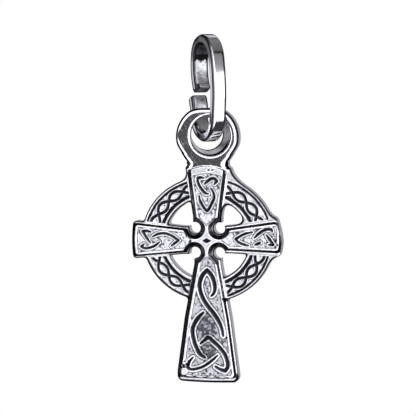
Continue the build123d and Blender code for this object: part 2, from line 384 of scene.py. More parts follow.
def polygonDistance(u, v, corners):
    nearest = np.full(u.shape, 1e9)
    inside = np.zeros(u.shape, bool)
    for (ax, ay), (bx, by) in zip(corners, corners[1:] + corners[:1]):
        ex, ey = bx - ax, by - ay
        share = np.clip(((u - ax) * ex + (v - ay) * ey) / (ex * ex + ey * ey), 0, 1)
        nearest = np.minimum(nearest, (u - ax - share * ex) ** 2 + (v - ay - share * ey) ** 2)
        crosses = (ay > v) != (by > v)
        inside ^= crosses & (u < ax + (v - ay) / (ey or 1e-9) * ex)
    return np.where(inside, -1, 1) * np.sqrt(nearest)


def armDistance(u, v, arm, insets=(0, 0, 0), tip=None):
    # distance to the outline of an arm drawn in by the insets, or to its panel where a tip is given
    arm = {"belly": 0, "lift": 0, "shift": 0, **arm}
    turn = radians(arm["turn"])
    lifted = v - arm["lift"] * np.maximum(u * cos(turn) + v * sin(turn), 0) / arm["reach"]
    along = u * cos(turn) + lifted * sin(turn)
    across = -u * sin(turn) + lifted * cos(turn) - arm["shift"]
    corner = max(arm["corner"] - max(insets) * 0.4, 0.02)
    waist = casting["waist"]
    lean = (arm["end"] - arm["root"]) / (arm["reach"] - waist)
    reach = arm["reach"] - insets[2] - corner
    sides = []
    for sign, inset in ((1, insets[0] + corner), (-1, insets[1] + corner)):
        root, end = arm["root"] - inset, arm["end"] - inset * (1 + lean)
        side = [(-1.2, sign * root)] if tip is None else []
        side.append((waist, sign * root))
        if arm["belly"]:
            side.append(((waist + reach) / 2, sign * ((root + end) / 2 + arm["belly"])))
        sides.append(side + [(reach, sign * end)])
    left, right = sides
    middle, half = (left[-1][1] + right[-1][1]) / 2, (left[-1][1] - right[-1][1]) / 2
    bow = [(reach + arm["bow"] * (1 - s * s), middle + s * half) for s in (0.6, 0.2, -0.2, -0.6)]
    start = [] if tip is None else [(tip + corner * 1.5, 0)]
    return polygonDistance(along, across, start + left + bow + right[::-1]) - corner


def wearEnd(here, u, v, part):
    # the right arm's distance with its end worn
    low, high = worn["further"].get(part, (0, 0))
    for ((wayU, wayV), (atU, atV)), further in ((worn["upper"], high), (worn["lower"], low)):
        here = softMax(here, (u - atU) * wayU + (v - atV) * wayV + further, 0.3)
    return softMax(here, u - worn["end"] + low * softStep(1.2, 0.6, v), 0.1)


def notchDistance(u, v):
    setback = casting["notchSetback"]
    return np.hypot(np.abs(u) - setback, np.abs(v) - setback) - casting["notchRadius"]


def crossDistance(u, v, part=None):
    # distance to the outline of the cross, or to the foot or the top of its raised part
    nearest = np.full(u.shape, 1e9)
    for name, arm in arms.items():
        longer = part and name == "head"
        drawn = {**arm, "reach": arm["reach"] + 1} if longer else arm
        here = armDistance(u, v, drawn, arm.get(part, (0, 0, 0)))
        if name == "right":
            here = wearEnd(here, u, v, part)
        nearest = np.minimum(nearest, here)
    roundNotch = {"foot": 0.1, "top": 0.53}.get(part, 0)
    return softMax(nearest, roundNotch - notchDistance(u, v), 0.06)


def lowerLeft(u, v):
    return softStep(0, 1, -u) * softStep(0.5, 2, -v)


def ringRadii(u, v):
    # distance from the ring's middle, and there the radii of its opening and its rim
    r = ringSizes
    lifted = v - r["lift"]
    radius = np.hypot(u, lifted) + 1e-9
    c, s = u / radius, lifted / radius
    inner = 1 / np.hypot(c / r["openWidth"], s / r["openHeight"])
    outer = 1 / np.hypot(c / r["halfWidth"], s / r["halfHeight"])
    outer = outer + r["fuller"] * softStep(0, 0.4, c) * softStep(0.1, 0.4, s)
    return radius, inner, outer - r["leaner"] * lowerLeft(u, v)


def eyeDistance(u, v, face=False):
    # distance to the outline of eye and neck, or of their front face, which has a waist: the eye's disc, a
    # little flat at the top and straight down to the neck, with the neck's shape below
    e, end, reach = eyeSizes, arms["head"]["end"], arms["head"]["reach"]
    disc = softMax(np.hypot(u, v - e["middle"]) - e["radius"], v - e["flatTop"], 0.4)
    (flankX, flankY), (neckX, neckY) = e["flank"], e["neck"]
    slope = np.hypot(flankX - neckX, flankY - neckY)
    beside = ((np.abs(u) - neckX) * (flankY - neckY) - (v - neckY) * (flankX - neckX)) / slope
    disc = softMax(disc, beside - 0.03, 0.15)
    below = [e["waist"], *e["faceFoot"]] if face else [e["neck"], (end, reach), (end - 0.4, reach - 0.8)]
    half = [e["flank"], *below]
    neck = polygonDistance(u, v, half + [(-x, y) for x, y in reversed(half)])
    return softMin(disc, neck, 0.2 if face else 0.25)


def holeDistance(u, v):
    e = eyeSizes
    return np.hypot(u - e["skew"], v - e["holeRise"] + e["drop"]) - e["frontRadius"]


def outlineDistance(u, v, hole=True):
    radius, inner, outer = ringRadii(u, v)
    onRight = softStep(0, 1, u)
    # on the right both the upper and the lower corners are filled, the lower ones only at the rim
    filled = softStep(0, 1, v) + softStep(0, -1, v) * softStep(-4, -3, v) * softStep(4.6, 5.4, radius)
    fillet = casting["fillet"] + casting["filletRight"] * onRight * filled
    head = casting["filletHead"] + casting["filletHeadRight"] * onRight
    fillet = fillet + head * softStep(4.4, 5.2, v)
    whole = softMin(crossDistance(u, v), np.maximum(inner - radius, radius - outer), fillet)
    whole = np.maximum(softMin(whole, eyeDistance(u, v), casting["filletEye"]), -notchDistance(u, v))
    return np.maximum(whole, -holeDistance(u, v)) if hole else whole


def outlineSlope(u, v):
    # how fast the distance grows across and up
    near = 1e-3
    across = outlineDistance(u + near, v) - outlineDistance(u - near, v)
    return np.stack([across, outlineDistance(u, v + near) - outlineDistance(u, v - near)]) / (2 * near)


def panelDistance(u, v):
    nearest = np.full(u.shape, 1e9)
    for arm in arms.values():
        insets = [inset + casting["panelRim"] for inset in arm["top"][:2]] + [arm["panelEnd"]]
        nearest = np.minimum(nearest, armDistance(u, v, arm, insets, casting["panelTip"]))
    return nearest


def rounded(outside, wide, deep):
    # how far an edge falls away, this far from the outline
    short = np.clip(1 + outside / wide, 0, 0.9999)
    return deep * (1 - np.sqrt(1 - short * short))


def bevelHeight(u, v):
    # height of the raised cross above the ring
    full, crease = casting["rise"], casting["crease"]
    inFoot = np.maximum(-crossDistance(u, v, "foot"), 0)
    share = inFoot / (inFoot + np.maximum(crossDistance(u, v, "top"), 0) + 1e-6)
    bevel = softMin(full * share * 1.03, full, crease)
    headTop = arms["head"]["reach"] + casting["headBow"] * (1 - (u / casting["headHalf"]) ** 2) - 0.06
    bevel = np.where(v > 5.5, softMin(bevel, (headTop - v) * 5, crease), bevel)
    return np.maximum(bevel, 0)


def frontHeight(u, v):
    # height of the front above the back, and masks for the finish
    c, r, e = casting, ringSizes, eyeSizes
    crossOut, eyeOut = crossDistance(u, v), eyeDistance(u, v)
    onCross = softStep(0.0, -c["ledge"], crossOut)
    onRing = (1 - onCross) * softStep(-0.02, 0.06, eyeOut)

    # the ring's sunk field and the lines by its rims, which stop short of the cross
    radius, inner, outer = ringRadii(u, v)
    fromOpening, fromRim = radius - inner, outer - radius
    grooveOut, lineIn = r["innerRim"] + r["innerGroove"], r["outerRim"] + r["outerGroove"]
    field = past(r["innerRim"], fromOpening) * past(r["outerRim"], fromRim)
    groove = past(r["innerRim"], fromOpening, 0.04, 0.06) * (1 - past(grooveOut, fromOpening, 0.05, 0.05))
    line = past(r["outerRim"], fromRim) * (1 - past(lineIn, fromRim, 0.04, 0.04)) * (1 - lowerLeft(u, v))
    clear = onRing * softStep(0.02, 0.12, crossOut)
    field, groove, line = field * clear, groove * clear, line * clear
    sink = np.maximum.reduce([r["fieldDepth"] * field, r["grooveDepth"] * groove, r["lineDepth"] * line])

    bevel = bevelHeight(u, v)
    plate = (c["plate"] - c["ring"]) * softStep(0.05, -0.05, eyeOut)
    height = c["ring"] + np.maximum(bevel, plate) - sink
    (blobU, blobV, blobRise), (pitWide, pitHigh, pitDeep) = c["blob"], c["pit"]
    sillV, sillHalf, sillDeep = c["sill"]
    blob = softStep(0.5, 0.3, np.hypot(u - blobU, (v - blobV) * 1.1))
    panel = softStep(0.05, -0.05, panelDistance(u, v)) * (1 - blob)
    pit = softStep(1.15, 0.75, np.abs(u) / pitWide + np.abs(v) / pitHigh)
    ragged = v - sillV - 0.04 * np.sin(u * 9) - 0.02 * np.sin(u * 23 + 1)
    sill = softStep(1.2, 0.5, np.abs(ragged) / sillHalf)
    sill = sill * softStep(2.2, 1.9, np.abs(u + 0.05)) * (0.7 + 0.3 * np.sin(u * 6 + 2))
    height = height - c["panelDepth"] * panel + blobRise * blob - pitDeep * pit - sillDeep * sill
    nick = np.zeros(u.shape)
    for across, up, size, deep in nicks:
        near = softStep(size * 1.3, size * 0.6, np.hypot(u - across, v - up))
        height = height - deep * near
        nick = np.maximum(nick, near)

    # rounded edges of the outline, and the sloped sides of the neck
    outside = outlineDistance(u, v, hole=False)
    onEye = softStep(0.1, -0.1, eyeOut) * (1 - onCross)
    onFoot = softStep(-12.0, -12.6, v)
    full = onEye * (1 - e["flatness"] * np.exp(-(((v - e["flatSpot"]) / e["flatHalf"]) ** 2)) * (u < 0))
    wide = c["edge"] + (e["roundWide"] - c["edge"]) * full + c["footWide"] * onFoot
    deep = c["edge"] + (e["roundDeep"] - c["edge"]) * full + c["footDeep"] * onFoot
    faceOut = np.where(onEye > 0.5, np.maximum(eyeDistance(u, v, face=True), outside), outside)
    height = height - rounded(faceOut, wide, deep) - e["waistSlope"] * np.maximum(faceOut, 0) * onEye
    height = height - rounded(-holeDistance(u, v), e["holeWide"], e["holeDeep"])

    # painted shade: black along the outline, but the right edges of the shaft and of the right arm stay
    # bright
    breadth = c["line"] + c["eyeLine"] * onEye + c["footLine"] * onFoot
    breadth = breadth + c["ringLine"] * np.where(fromRim < fromOpening, 1, -1) * onRing * lowerLeft(u, v)
    rightEnd = softStep(6.4, 6.6, u)
    bright = onCross * softStep(0.5, 0.9, u) * softStep(-1.7, -2.0, v) * softStep(-12.5, -12.2, v)
    outline = softStep(0, 0.055, outside + breadth) * (1 - np.maximum(bright, rightEnd))
    # where the bevels slope: a mask for their roughness and for painted shade on them, left off at the
    # upper part of the right arm's end
    share = bevel / c["rise"]
    slope = softStep(0.02, 0.15, share) * softStep(0.99, 0.88, share) * onCross
    slope = slope * (1 - rightEnd * softStep(-0.2, 0.1, v))
    tarnish = sum(
        np.exp(-((((u - across) / wideHalf) ** 2 + ((v - up) / highHalf) ** 2) ** 1.5))
        for (across, up), (wideHalf, highHalf) in c["stains"]
    )
    return np.maximum(height, c["least"]), dict(
        panel=panel, field=field, black=np.maximum.reduce([groove, line, pit, sill, nick, outline]),
        satin=np.maximum(onCross, onRing), bevel=slope, face=np.ones(u.shape),
        upright=softStep(-0.2, 0.2, np.abs(v) - np.abs(u)), tarnish=tarnish,
    )


def frontFaces():
    # a grid over the casting with the points near its outline moved onto it, and the faces inside
    step = casting["grid"]
    columns, rows = np.arange(-7.3, 7.35, step), np.arange(-13.3, eyeSizes["flatTop"] + 0.15, step)
    u, v = (a.ravel() for a in np.meshgrid(columns, rows))
    outside = outlineDistance(u, v)
    snapped = np.abs(outside) < 0.5 * step
    for _ in range(4):
        a, b = u[snapped], v[snapped]
        slope = outlineSlope(a, b)
        move = slope * outlineDistance(a, b) / np.maximum((slope**2).sum(0), 0.3)
        u[snapped] -= move[0]
        v[snapped] -= move[1]
    kept = snapped | (outside < 0)
    number = np.arange(u.size).reshape(len(rows), len(columns))
    corners = [number[:-1, :-1], number[:-1, 1:], number[1:, 1:], number[1:, :-1]]
    corners = np.stack(corners, -1).reshape(-1, 4)
    count = kept[corners].sum(1)
    thirds = corners[count == 3]
    missing = np.argmin(kept[thirds], 1)
    triangles = np.stack([thirds[np.arange(len(thirds)), (missing + k) % 4] for k in (1, 2, 3)], -1)

    def truly(faces):
        # faces with every corner on the outline are kept only where they lie inside it
        middle = outlineDistance(u[faces].mean(1), v[faces].mean(1))
        return faces[~snapped[faces].all(1) | (middle < -0.05 * step)]

    quads, triangles = truly(corners[count == 4]), truly(triangles)
    used = np.unique(np.concatenate([quads.ravel(), triangles.ravel()]))
    order = np.full(u.size, -1)
    order[used] = np.arange(len(used))
    return u[used], v[used], order[quads], order[triangles]


def storeMask(mesh, name, values):
    mesh.attributes.new(name, "FLOAT", "POINT").data.foreach_set("value", values.astype(np.float32))


def makeCasting():
    u, v, quads, triangles = frontFaces()
    height, masks = frontHeight(u, v)
    # outline edges, each with its face on one side
    pairs = np.concatenate([
        faces[:, [k, (k + 1) % sides]]
        for faces, sides in ((quads, 4), (triangles, 3)) for k in range(sides)
    ])
    keys = pairs.min(1) * (len(u) + 1) + pairs.max(1)
    _, first, counts = np.unique(keys, return_index=True, return_counts=True)
    rim = pairs[first[counts == 1]]
    rimPoints = np.unique(rim)
    a, b, top = u[rimPoints], v[rimPoints], height[rimPoints]
    slope = outlineSlope(a, b)
    inU, inV = -slope / np.maximum(np.hypot(*slope), 1e-9)
    e = eyeSizes
    inHole = np.abs(holeDistance(a, b)) < 2e-3
    holeU, holeV = a - e["skew"], b - e["holeRise"] + e["drop"]
    ray = np.hypot(holeU, holeV)

    # copies of the outline: how far down the wall, how far in, and how much painted shade darkens the
    # hole's wall there
    low = softStep(0.3, 1.2, e["holeRise"] - b)
    levels = (
        (0.97, 0, low), (0.76, 0, low), (0.68, 0, 0), (0.22, 0, 0), (0.15, 0, 1), (0.025, 0.02, 1),
        (0, casting["backEdge"], 0),
    )
    points = [np.stack([u, casting["plate"] / 2 - height, v + crossMiddle], -1)]
    layers, dark = [rimPoints], []
    for number, (share, inset, black) in enumerate(levels):
        radius = e["frontRadius"] * share + e["backRadius"] * (1 - share) + inset
        lowU = np.where(inHole, e["skew"] * (2 * share - 1) + holeU / ray * radius, a + inU * inset)
        lowV = np.where(inHole, e["holeRise"] - e["drop"] * share + holeV / ray * radius, b + inV * inset)
        points.append(np.stack([lowU, casting["plate"] / 2 - top * share, lowV + crossMiddle], -1))
        layers.append(len(u) + number * len(a) + np.arange(len(a)))
        dark.append(inHole * black)
    place = np.full(len(u), -1)
    place[rimPoints] = np.arange(len(a))
    start, stop = place[rim].T
    faces = quads.tolist() + triangles.tolist()
    for upper, lower in zip(layers, layers[1:]):
        faces += np.stack([upper[stop], upper[start], lower[start], lower[stop]], -1).tolist()

    mesh = bpy.data.meshes.new("castingForm")
    mesh.from_pydata((np.concatenate(points) * mm).tolist(), [], faces)
    body = bmesh.new()
    body.from_mesh(mesh)
    openEdges = [edge for edge in body.edges if edge.is_boundary]
    bmesh.ops.triangle_fill(body, use_beauty=True, edges=openEdges, normal=(0, 1, 0))
    body.faces.ensure_lookup_table()
    for number, face in enumerate(body.faces):
        face.smooth = number < len(faces)
    body.normal_update()
    body.to_mesh(mesh)
    body.free()
    for name, values in masks.items():
        full = np.zeros(len(mesh.vertices))
        full[: len(u)] = values
        if name == "black":
            full[len(u) :] = np.concatenate(dark)
        storeMask(mesh, name, full)
    print("casting:", len(mesh.polygons), "faces")
    return putInScene("castingForm", mesh)


castingForm = makeCasting()


# Knots: the incised strokes of each panel, as a breadth and the places that the stroke passes, across and
# up. A third value marks a sharp corner

strokes = dict(
    shortPanel=[
        (0.25, [
            (-0.67, 4.1), (-0.63, 3.74), (-0.42, 3.33), (-0.15, 2.91), (0.04, 2.74, 1), (0.22, 2.92),
            (0.5, 3.46), (0.7, 3.94), (0.64, 4.42), (0.41, 4.82),
        ]),
        (0.24, [
            (-0.27, 5.74), (-0.55, 5.8), (-0.82, 5.72, 1), (-0.8, 5.38), (-0.6, 4.94), (-0.33, 4.58),
            (-0.08, 4.36), (0.16, 4.3),
        ]),
        (0.27, [(-0.18, 5.21), (0.16, 5.51), (0.47, 5.71), (0.72, 5.7), (0.95, 5.49, 1), (0.72, 5.19)]),
        (0.21, [
            (-5.08, 0.26), (-4.63, 0.5), (-3.99, 0.61), (-3.34, 0.44), (-2.62, -0.01, 1), (-2.97, -0.29),
            (-3.31, -0.55),
        ]),
        (0.22, [(-5.22, 0.71), (-5.59, 0.79), (-5.99, 0.76, 1), (-5.67, 0.26), (-5.27, -0.3)]),
        (0.21, [
            (-4.42, -0.21), (-4.84, -0.54), (-5.38, -0.76), (-5.8, -0.79), (-6.12, -0.65, 1),
            (-5.86, -0.42),
        ]),
        (0.21, [(4.27, 0.88), (3.5, 0.68), (2.7, 0.22, 1), (2.97, -0.06), (3.44, -0.26), (3.9, -0.36)]),
        (0.24, [(4.44, 0.36), (4.97, 0.84), (5.56, 1.15), (5.99, 1.15, 1), (6.11, 0.96)]),
        (0.24, [(5.56, 0.62), (5.92, 0.15), (6.18, -0.24, 1), (5.74, -0.26)]),
        (0.24, [(4.5, -0.28), (4.78, -0.18), (5.0, -0.06)]),
    ],
    shaftPanel=[
        (0.34, [
            (0.47, -5.05), (0.69, -4.78), (0.78, -4.27), (0.66, -3.6), (0.38, -3.05), (0.06, -2.72, 1),
            (-0.34, -3.13), (-0.6, -3.77), (-0.63, -4.36), (-0.38, -5.19), (0.08, -5.95), (0.7, -6.7),
            (1.13, -7.36), (1.42, -8.01), (1.55, -8.72),
        ]),
        (0.33, [
            (-0.3, -6.63), (-0.72, -7.05), (-1.05, -7.53), (-1.3, -8.2), (-1.22, -9.05), (-0.93, -9.9),
            (-0.6, -10.47), (-0.16, -10.78),
        ]),
        (0.31, [
            (-0.55, -9.5), (-0.16, -9.15), (0.17, -8.93), (0.61, -9.24), (1.19, -9.76), (1.71, -10.43),
            (1.97, -11.23), (1.94, -11.7), (1.71, -11.97, 1), (1.28, -11.84), (0.82, -11.59),
        ]),
        (0.22, [
            (1.04, -10.56), (0.51, -11.04), (-0.16, -11.53), (-0.83, -11.82), (-1.46, -11.92),
            (-1.75, -11.71, 1), (-1.61, -11.23), (-1.27, -10.8),
        ]),
    ],
)
braid = dict(lap=18, breadth=0.27, swing=0.41, gap=0.03)
# the ribbons round the strokes of each region, and the rough ground between them
reliefSizes = ("Border", "Line Depth", "Rise", "Softness", "Grain Height", "Grain Size")
relief = dict(
    shortPanel=(0.15, 0.22, 0.19, 0.04, 0.12, 0.22),
    shaftPanel=(0.2, 0.24, 0.19, 0.05, 0.12, 0.26),
    field=(0.115, 0.2, 0.12, 0.05, 0.05, 0.22),
)


def strokeRun(breadth, marks):
    # close points along a stroke, each with its breadth, which tapers at the ends
    points = [Vector((mark[0], mark[1], 0)) for mark in marks]
    last = len(points) - 1
    handles = []
    for number, (here, mark) in enumerate(zip(points, marks)):
        before, after = points[max(number - 1, 0)], points[min(number + 1, last)]
        if len(mark) > 2:
            handles.append((here.lerp(before, 0.33), here.lerp(after, 0.33)))
        else:
            heading = (after - before).normalized() * 0.36
            back, forth = (here - before).length, (after - here).length
            handles.append((here - heading * back, here + heading * forth))
    run = []
    for number in range(last):
        ends = points[number], handles[number][1], handles[number + 1][0], points[number + 1]
        run += interpolate_bezier(*ends, 13)[:-1]
    run.append(points[-1])
    shares = [6 * k / (len(run) - 1) for k in range(len(run))]
    return run, [breadth * (0.55 + 0.45 * min(1, share, 6 - share)) for share in shares]


def braidRuns():
    # two strands that swing past each other in each quarter, each cut where it passes under
    r = ringSizes
    band = r["halfWidth"] - r["openWidth"]
    middle = (r["innerRim"] + r["innerGroove"] + band - r["outerRim"] - r["outerGroove"]) / 2
    cut = degrees((braid["breadth"] / 2 + braid["gap"]) / (r["openWidth"] + middle))
    lap = braid["lap"]
    runs = []
    for quarter in range(4):
        for side, unders in ((1, (-lap, lap)), (-1, (0,))):
            stops = (-2 * lap, *unders, 2 * lap)
            for start, stop in zip(stops, stops[1:]):
                start += cut if start in unders else 0
                stop -= cut if stop in unders else 0
                run = []
                for angle in np.linspace(start, stop, 25):
                    out = middle + side * braid["swing"] * sin(pi * angle / lap)
                    tall = r["openHeight"] + out / band * (r["halfHeight"] - r["openHeight"])
                    turn = radians(45 + 90 * quarter + angle)
                    across, up = (r["openWidth"] + out) * cos(turn), tall * sin(turn) + r["lift"]
                    run.append(Vector((across, up, 0)))
                runs.append((run, [braid["breadth"]] * len(run)))
    return runs


def makeLines(runs):
    # centre lines as loose edges on the upright plane through the origin, with the breadth at each point
    points, edges, breadths = [], [], []
    for run, sizes in runs:
        start = len(points)
        points += [(p.x * mm, 0, (p.y + crossMiddle) * mm) for p in run]
        edges += [(k, k + 1) for k in range(start, len(points) - 1)]
        breadths += sizes
    mesh = bpy.data.meshes.new("centreLines")
    mesh.from_pydata(points, edges, [])
    storeMask(mesh, "breadth", np.array(breadths))
    return putInScene("centreLines", mesh)


def namedValue(tree, name):
    node = addNode(tree, "GeometryNodeInputNamedAttribute", {"Name": name}, data_type="FLOAT")
    return node.at("Attribute")


def moveAndPaint(given, result, shape, offset):
    tree = shape.tree
    moved = addNode(tree, "GeometryNodeSetPosition", {"Geometry": shape, "Offset": offset})
    real = addNode(tree, "GeometryNodeRealizeInstances", {0: moved})
    inputs = {"Geometry": real, "Material": given["Material"]}
    feed(result[0], addNode(tree, "GeometryNodeSetMaterial", inputs))


def reliefTree():
    # raises a ribbon with a sunk line along each centre line and roughens the ground between
    tree, given, result = newTree("GeometryNodeTree", "ribbonRelief", {
        "Geometry": "Geometry", "Lines": "Object", "Region": "String",
        **dict(zip(reliefSizes, relief["shaftPanel"])), "Material": "Material",
    }, {"Geometry": "Geometry"})
    about = addNode(tree, "GeometryNodeObjectInfo", {"Object": given["Lines"]}, transform_space="ORIGINAL")
    lines = about.at("Geometry")
    place = addNode(tree, "ShaderNodeSeparateXYZ", {0: addNode(tree, "GeometryNodeInputPosition")})
    flat = addNode(tree, "ShaderNodeCombineXYZ", {"X": place.at("X"), "Z": place.at("Z")})
    inputs = {0: lines, "Sample Position": flat}
    near = addNode(tree, "GeometryNodeProximity", inputs, target_element="EDGES")
    away = near.at("Distance") / mm
    # half the breadth at the nearest point of the lines
    inputs = {"Geometry": lines, "Sample Position": flat}
    nearest = addNode(tree, "GeometryNodeSampleNearest", inputs, domain="POINT")
    inputs = {"Geometry": lines, "Value": namedValue(tree, "breadth"), "Index": nearest}
    breadth = addNode(tree, "GeometryNodeSampleIndex", inputs, data_type="FLOAT", domain="POINT")
    thin = breadth.at("Value") * 0.5
    half, soft, region = thin + given["Border"], given["Softness"], namedValue(tree, given["Region"])
    ribbon = rise(away, half - soft, half + soft, 1.0, 0.0) * region
    line = rise(away, thin * 0.6, thin * 1.3, 1.0, 0.0) * region
    grain = (noiseOf(flat, (1 / mm) / given["Grain Size"], 3, 0.6) - 0.5) * given["Grain Height"]
    height = ribbon * given["Rise"] - line * given["Line Depth"] + grain * ((1.0 - ribbon) * region) * 2
    shape = given["Geometry"]
    for name, value in (("line", line), ("ribbon", ribbon)):
        inputs = {"Geometry": shape, "Name": name, "Value": most(namedValue(tree, name), value)}
        shape = addNode(tree, "GeometryNodeStoreNamedAttribute", inputs, data_type="FLOAT")
    moveAndPaint(given, result, shape, addNode(tree, "ShaderNodeCombineXYZ", {"Y": height * -mm}))
    return tree


def applyTree(form, tree, settings):
    # runs the tree on the object and keeps the result as its plain mesh
    modifier = form.modifiers.new(tree.name, "NODES")
    modifier.node_group = tree
    for item in tree.interface.items_tree:
        if item.in_out == "INPUT" and item.name in settings:
            modifier[item.identifier] = settings[item.name]
    bpy.context.view_layer.update()
    depsgraph = bpy.context.evaluated_depsgraph_get()
    mesh = bpy.data.meshes.new_from_object(form.evaluated_get(depsgraph))
    form.modifiers.clear()
    form.data = mesh


# Finishes

def grainGroup():
    # fine uneven skin of a casting: pits and soft lumps as one height
    group, given, result = newTree("ShaderNodeTree", "castGrain", {
        "Vector": "Vector", "Lump Scale": 3600.0, "Pit Scale": 9000.0,
    }, {"Height": "Float", "Mask": "Float"})
    lumps = noiseOf(given["Vector"], given["Lump Scale"], 4)
    inputs = {"Vector": given["Vector"], "Scale": given["Pit Scale"]}
    feed(result["Height"], addNode(group, "ShaderNodeTexVoronoi", inputs).at("Distance") * 0.5 + lumps)
    feed(result["Mask"], lumps)
    return group


def scratchGroup():
    # hairline scratches, long along one way
    group, given, result = newTree("ShaderNodeTree", "hairScratches", {
        "Vector": "Vector", "Scale": 900.0, "Stretch": 0.08, "Turn": 0.5,
    }, {"Height": "Float"})
    inputs = {"Vector": given["Vector"], "Angle": given["Turn"]}
    spin = addNode(group, "ShaderNodeVectorRotate", inputs, rotation_type="Y_AXIS")
    squeeze = addNode(group, "ShaderNodeCombineXYZ", {"X": 1, "Y": 1, "Z": given["Stretch"]})
    pull = addNode(group, "ShaderNodeVectorMath", {0: spin, 1: squeeze}, operation="MULTIPLY")
    feed(result["Height"], noiseOf(pull, given["Scale"], 5, 0.7))
    return group


castGrain = grainGroup()
hairScratches = scratchGroup()


def masksOf(tree, names):
    return [addNode(tree, "ShaderNodeAttribute", attribute_name=name).at("Fac") for name in names.split()]


def startSilver(name, values):
    # metal with the two shared effects on it, each with its own values
    material = bpy.data.materials.new(name)
    material.use_nodes = True
    tree = material.node_tree
    where = addNode(tree, "ShaderNodeTexCoord").at("Object")
    grain = addNode(tree, "ShaderNodeGroup", {"Vector": where, **values["grain"]}, node_tree=castGrain)
    hair = addNode(tree, "ShaderNodeGroup", {"Vector": where, **values["hair"]}, node_tree=hairScratches)
    return material, tree, grain, hair


def finishSilver(tree, colour, dark, darkColour, roughness, height, bump):
    # what is dark stays dark at a glancing angle too
    for name, value in {
        "Metallic": 1, "Base Color": colour, "Specular Tint": blend(dark, (1.0, 1.0, 1.0), darkColour),
        "Roughness": roughness, "Normal": addNode(tree, "ShaderNodeBump", {"Height": height, **bump}),
    }.items():
        feed(tree.nodes["Principled BSDF"].inputs[name], value)


castSilver = dict(
    bright=(0.93, 0.93, 0.945), mottle=(0.6, 0.6, 0.63), ground=(0.62, 0.62, 0.64),
    # the speck colour also serves as painted shade along the foot of each ribbon
    shaftGround=(0.44, 0.44, 0.46), speckAndShade=(0.07, 0.07, 0.085), stained=(0.03, 0.03, 0.04),
    # bevel is painted shade on the bevels; black is painted shade along the outline and on the hole's
    # wall, and the dark of grooves, lines, pit, step and nicks
    bevel=(0.03, 0.03, 0.035), black=(0.015, 0.015, 0.02),
    smooth=0.14, satin=0.32, bevelSmooth=0.2, brushing=0.08,
    grain={}, hair={"Scale": 4500, "Stretch": 0.3}, bump={"Strength": 0.3, "Distance": 0.00004},
)


def makeCastSilver(values):
    material, tree, grain, hair = startSilver("castSilver", values)
    panel, field, ribbon, line, bevel, tarnish = masksOf(tree, "panel field ribbon line bevel tarnish")
    satin, face, upright, shaftPanel, black = masksOf(tree, "satin face upright shaftPanel black")
    bare, back, mask = 1.0 - ribbon, 1.0 - face, grain.at("Mask")
    ground = (most(panel, field) - field * 0.4) * bare
    black = most(black, line)

    # cloudy patches, fainter on the back
    colour = blend(rise(mask, 0.5, 0.7) * (face * 0.7 + 0.3), values["bright"], values["mottle"])
    colour = blend(ground, colour, blend(shaftPanel, values["ground"], values["shaftGround"]))
    # the loops of the shaft are stained, which bright specks break up
    stained = tarnish * panel
    broken = rise(1.0 - mask, 0.53, 0.6)
    colour = blend(stained * (0.97 - broken * 0.6), colour, values["stained"])
    # dark specks on the grounds, closer together in the stains, and painted shade in the same dark colour
    # along the foot of each ribbon
    speckAndShade = rise(stained * 0.12 + mask, 0.51, 0.62)
    colour = blend(speckAndShade * ground, colour, values["speckAndShade"])
    colour = blend(ribbon * bare * panel * 2.6, colour, values["speckAndShade"])
    # painted shade on the bevels, a little lighter on the upright arms
    colour = blend(bevel * (1.0 - upright * 0.25), colour, values["bevel"])
    # black in the grooves, lines, pit, step and nicks, and painted shade along the outline and on the
    # hole's wall
    colour = blend(black, colour, values["black"])

    # satin cross, ring and back, and fine brushing of the smooth faces
    dull = most(satin, back * 0.8)
    roughness = dull * (values["satin"] - values["smooth"]) + values["smooth"]
    roughness = roughness + rise(hair, 0.5, 0.66) * (1.0 - dull) * values["brushing"]
    roughness = roughness + bevel * (values["bevelSmooth"] - roughness)
    height = grain.at("Height") * (ground * 0.9 + 0.1) + hair * (back * 0.5 + 0.03)
    finishSilver(tree, colour, black, values["black"], roughness, height, values["bump"])
    return material


def splitPanels(mesh):
    # the shaft's panel and the three short ones are separate regions
    spots = np.zeros(len(mesh.vertices) * 3, np.float32)
    mesh.vertices.foreach_get("co", spots)
    across, _, up = spots.reshape(-1, 3).T / mm
    up = up - crossMiddle
    panel = np.zeros(len(up), np.float32)
    mesh.attributes["panel"].data.foreach_get("value", panel)
    inShaft = (up < 0) & (np.abs(across) < -up)
    storeMask(mesh, "shaftPanel", panel * inShaft)
    storeMask(mesh, "shortPanel", panel * ~inShaft)
    for name in ("line", "ribbon"):
        mesh.attributes.new(name, "FLOAT", "POINT")


splitPanels(castingForm.data)
castSilverFinish = makeCastSilver(castSilver)
ribbonRelief = reliefTree()
runs = {region: [strokeRun(*stroke) for stroke in drawn] for region, drawn in strokes.items()}
runs["field"] = braidRuns()
for region, lines in runs.items():
    centreLines = makeLines(lines)
    settings = {"Lines": centreLines, "Region": region, "Material": castSilverFinish}
    applyTree(castingForm, ribbonRelief, {**settings, **dict(zip(reliefSizes, relief[region]))})
    bpy.data.objects.remove(centreLines)
castingForm.name = "celticCross"
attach(castingForm, "pendant")
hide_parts("celtic_cross")
print("casting finished:", len(castingForm.data.polygons), "faces")


# Bail: flat wire bent to an open oval, its places given outwards and up

bail = dict(
    turn=36.0, height=9.7, width=1.36, thickness=0.93, plan=0.85, wedge=13.0, clearance=0.2,
    strandRise=1.6, lean=0.12, shoulderShare=0.85, frontShoulder=-1.2, backShare=0.95, backShoulder=-1.0,
    stubFlare=0.37, stubRise=1.44, endTuck=0.62, endGap=0.7,
    step=0.06,  # between the points of the route
    middle=-3.0,
    ledge=-3.64,  # height of the small step where a tool caught the inner side, how deep and how far down
    ledgeDepth=0.07,
    ledgeEnd=-4.62,
    waves=0.007,  # of the inner side
    archShadeFoot=-1.56,  # where the painted shade inside the arch ends
)
wireSizes = {
    "Rounding": 0.26, "Unevenness": 0.012, "End Wear": 0.22, "Broad Behind": 0.1, "Broad Stub": 0.07,
}


